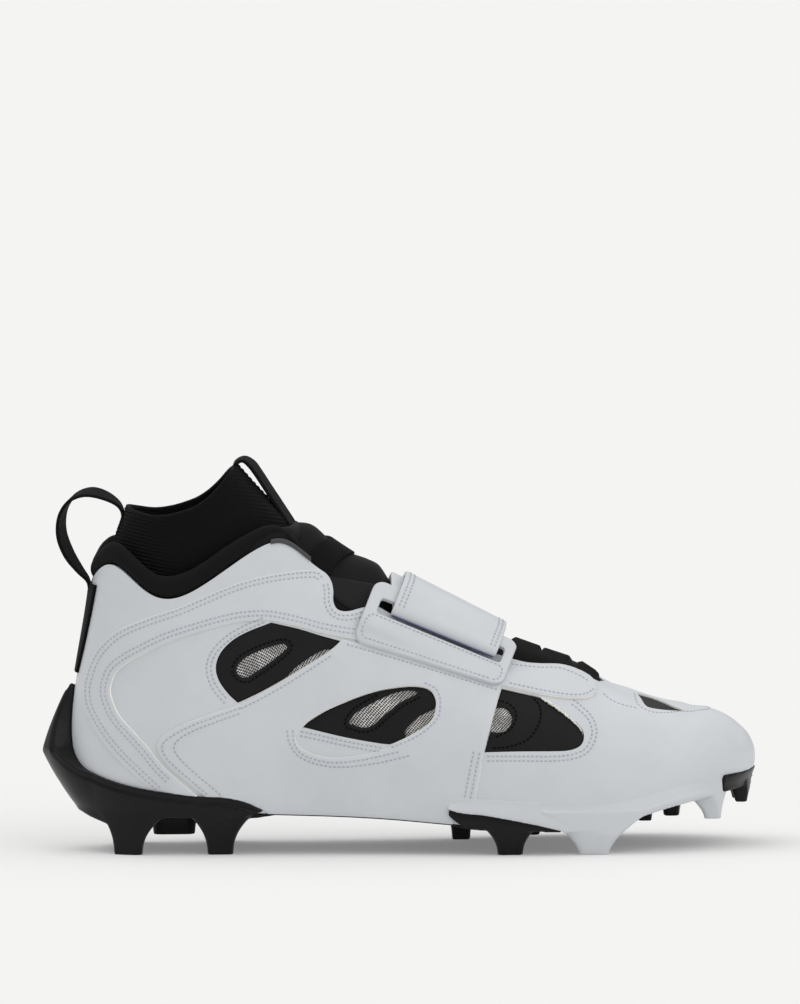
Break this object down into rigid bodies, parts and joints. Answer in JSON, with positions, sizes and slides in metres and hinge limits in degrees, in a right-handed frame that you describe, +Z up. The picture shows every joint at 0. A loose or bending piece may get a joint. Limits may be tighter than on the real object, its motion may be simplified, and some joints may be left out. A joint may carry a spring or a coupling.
{
  "type": "studded field shoe",
  "caption": "Mid-cut studded field shoe, right foot: white synthetic upper with dark windows, padded collar, ribbed knit cuff, instep strap through a side loop, webbing pull loops.",
  "frame": {"origin": "middle of the bounding box at ground level, on the plane of the stud tips", "axes": "+X from heel to toe, +Y to the inner side of the foot, +Z up from the ground"},
  "size_m": [0.3064, 0.104, 0.1712],
  "materials": {
    "white_synthetic": "satin",
    "white_moulding": "satin",
    "black_moulding": "satin",
    "black_synthetic": "satin",
    "black_textile": "matte",
    "black_knit": "matte",
    "black_webbing": "matte",
    "grey_foam": "matte"
  },
  "bodies": {
    "root": {"upper": "white_synthetic", "collar": "black_textile", "cuff": "black_knit", "tongue": "black_textile", "insole": "grey_foam", "sole_plate": "black_moulding", "rand_outer": "white_moulding", "rand_inner": "white_moulding", "strap": "white_synthetic", "strap_loop": "white_moulding", "heel_loop": "black_webbing", "front_loop": "black_webbing", "instep_band": "black_webbing", "heel_tab": "black_webbing", "lace_cross_1": "black_webbing", "lace_cross_2": "black_webbing", "lace_cross_3": "black_webbing", "vent_rear_outer": "black_synthetic", "vent_middle_outer": "black_synthetic", "vent_front_outer": "black_synthetic", "vent_toe_outer": "black_synthetic", "saddle_outer": "white_synthetic", "heel_arc_outer": "white_synthetic", "eyestay_outer": "white_synthetic", "vent_rear_inner": "black_synthetic", "vent_middle_inner": "black_synthetic", "vent_front_inner": "black_synthetic", "vent_toe_inner": "black_synthetic", "saddle_inner": "white_synthetic", "heel_arc_inner": "white_synthetic", "eyestay_inner": "white_synthetic"}
  },
  "joints": []
}
